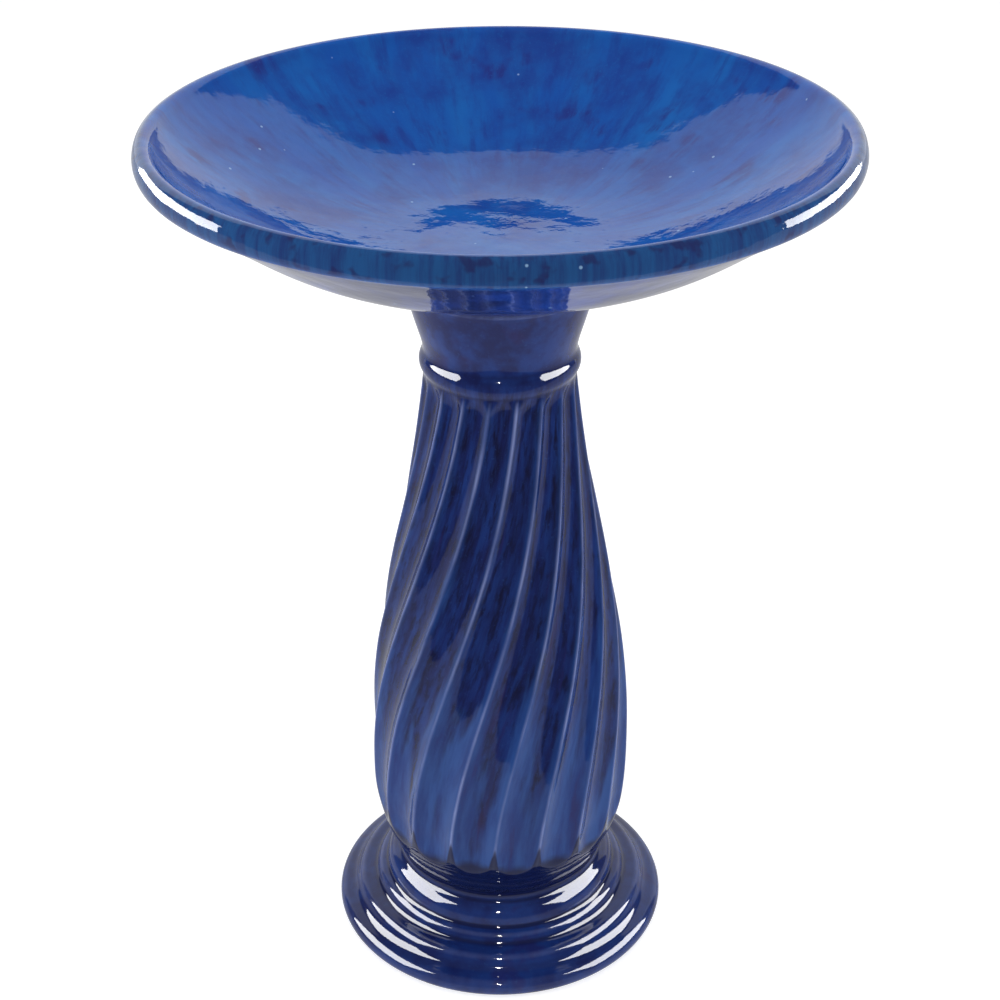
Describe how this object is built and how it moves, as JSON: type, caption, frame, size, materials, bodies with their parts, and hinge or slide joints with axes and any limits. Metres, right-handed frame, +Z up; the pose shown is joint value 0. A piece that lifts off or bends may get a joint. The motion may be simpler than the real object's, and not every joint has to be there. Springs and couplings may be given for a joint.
{
  "type": "bird bath",
  "caption": "Glazed stoneware bird bath: a wide shallow bowl with a rolled rim, on a hollow pedestal with twisted flutes and a ringed foot.",
  "frame": {"origin": "centre of the pedestal's foot ring, on the ground", "axes": "+Z up along the common axis of pedestal and bowl; X and Y are level, and the object looks alike every 20 degrees"},
  "size_m": [0.5083, 0.5084, 0.6841],
  "materials": {
    "pedestal_glaze": "clear glossy cobalt glaze on stoneware",
    "seat_rubber": "soft matt",
    "bowl_glaze": "clear glossy cobalt glaze on stoneware"
  },
  "bodies": {
    "pedestal": {"pedestal": "pedestal_glaze"},
    "seat_ring": {"seat_ring": "seat_rubber"},
    "bowl": {"bowl": "bowl_glaze"}
  },
  "joints": [
    {"name": "bowl_turn", "type": "hinge", "parent": "pedestal", "child": "seat_ring", "pos_m": [0, 0, 0.568], "axis": [0, 0, 1], "continuous": true},
    {"name": "bowl_lift", "type": "slide", "parent": "seat_ring", "child": "bowl", "axis": [0, 0, 1], "range_m": [0, 0.15]}
  ]
}
